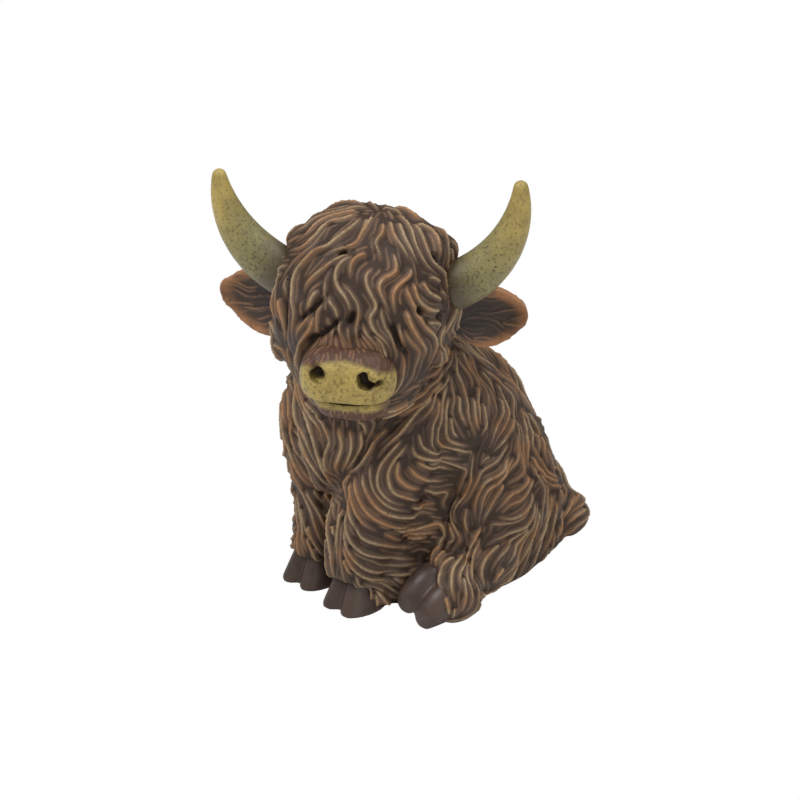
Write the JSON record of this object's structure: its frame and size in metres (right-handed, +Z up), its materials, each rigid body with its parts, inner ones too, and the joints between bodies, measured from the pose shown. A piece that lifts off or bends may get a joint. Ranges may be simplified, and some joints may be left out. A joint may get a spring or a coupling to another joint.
{
  "type": "cow figurine",
  "caption": "Sitting long-haired cow ornament with upswept horns, a hair fringe over the eyes and a head turned to its left, glued together from painted resin castings.",
  "frame": {"origin": "on the surface the ornament rests on, in the body's middle plane, inside the felt pad", "axes": "+Z up, -Y the way the body faces, +X the cow's left side; the head is turned 33 degrees towards +X"},
  "size_m": [0.0936, 0.1229, 0.1471],
  "materials": {
    "coat": "matt brown paint on cast resin, dry-brushed tan on the raised hair",
    "ear": "matt brown paint on cast resin, orange-tan at the rim",
    "nose": "matt ochre paint on cast resin with a brown wash",
    "horn": "matt ochre paint on cast resin, grey-green near the root",
    "hoof": "satin dark brown paint on cast resin",
    "bare_resin": "unpainted cast resin",
    "felt": "black felt",
    "dowel_wood": "bare beech",
    "steel": "plain steel wire"
  },
  "bodies": {
    "root": {"torso_shell": "coat", "base_plate": "bare_resin", "base_felt": "felt", "chest_mane": "coat", "head": "coat", "neck_dowel": "dowel_wood", "forelock": "coat", "muzzle": "nose", "lower_lip": "nose", "horn_left": "horn", "horn_right": "horn", "horn_pins": "steel", "ear_left": "ear", "ear_right": "ear", "front_leg_left": "coat", "front_leg_right": "coat", "front_hoof_left": "hoof", "front_hoof_right": "hoof", "hind_leg_left": "coat", "hind_leg_right": "coat", "hind_hoof_left": "hoof", "hind_hoof_right": "hoof", "tail": "coat", "tail_tuft": "coat"}
  },
  "joints": []
}
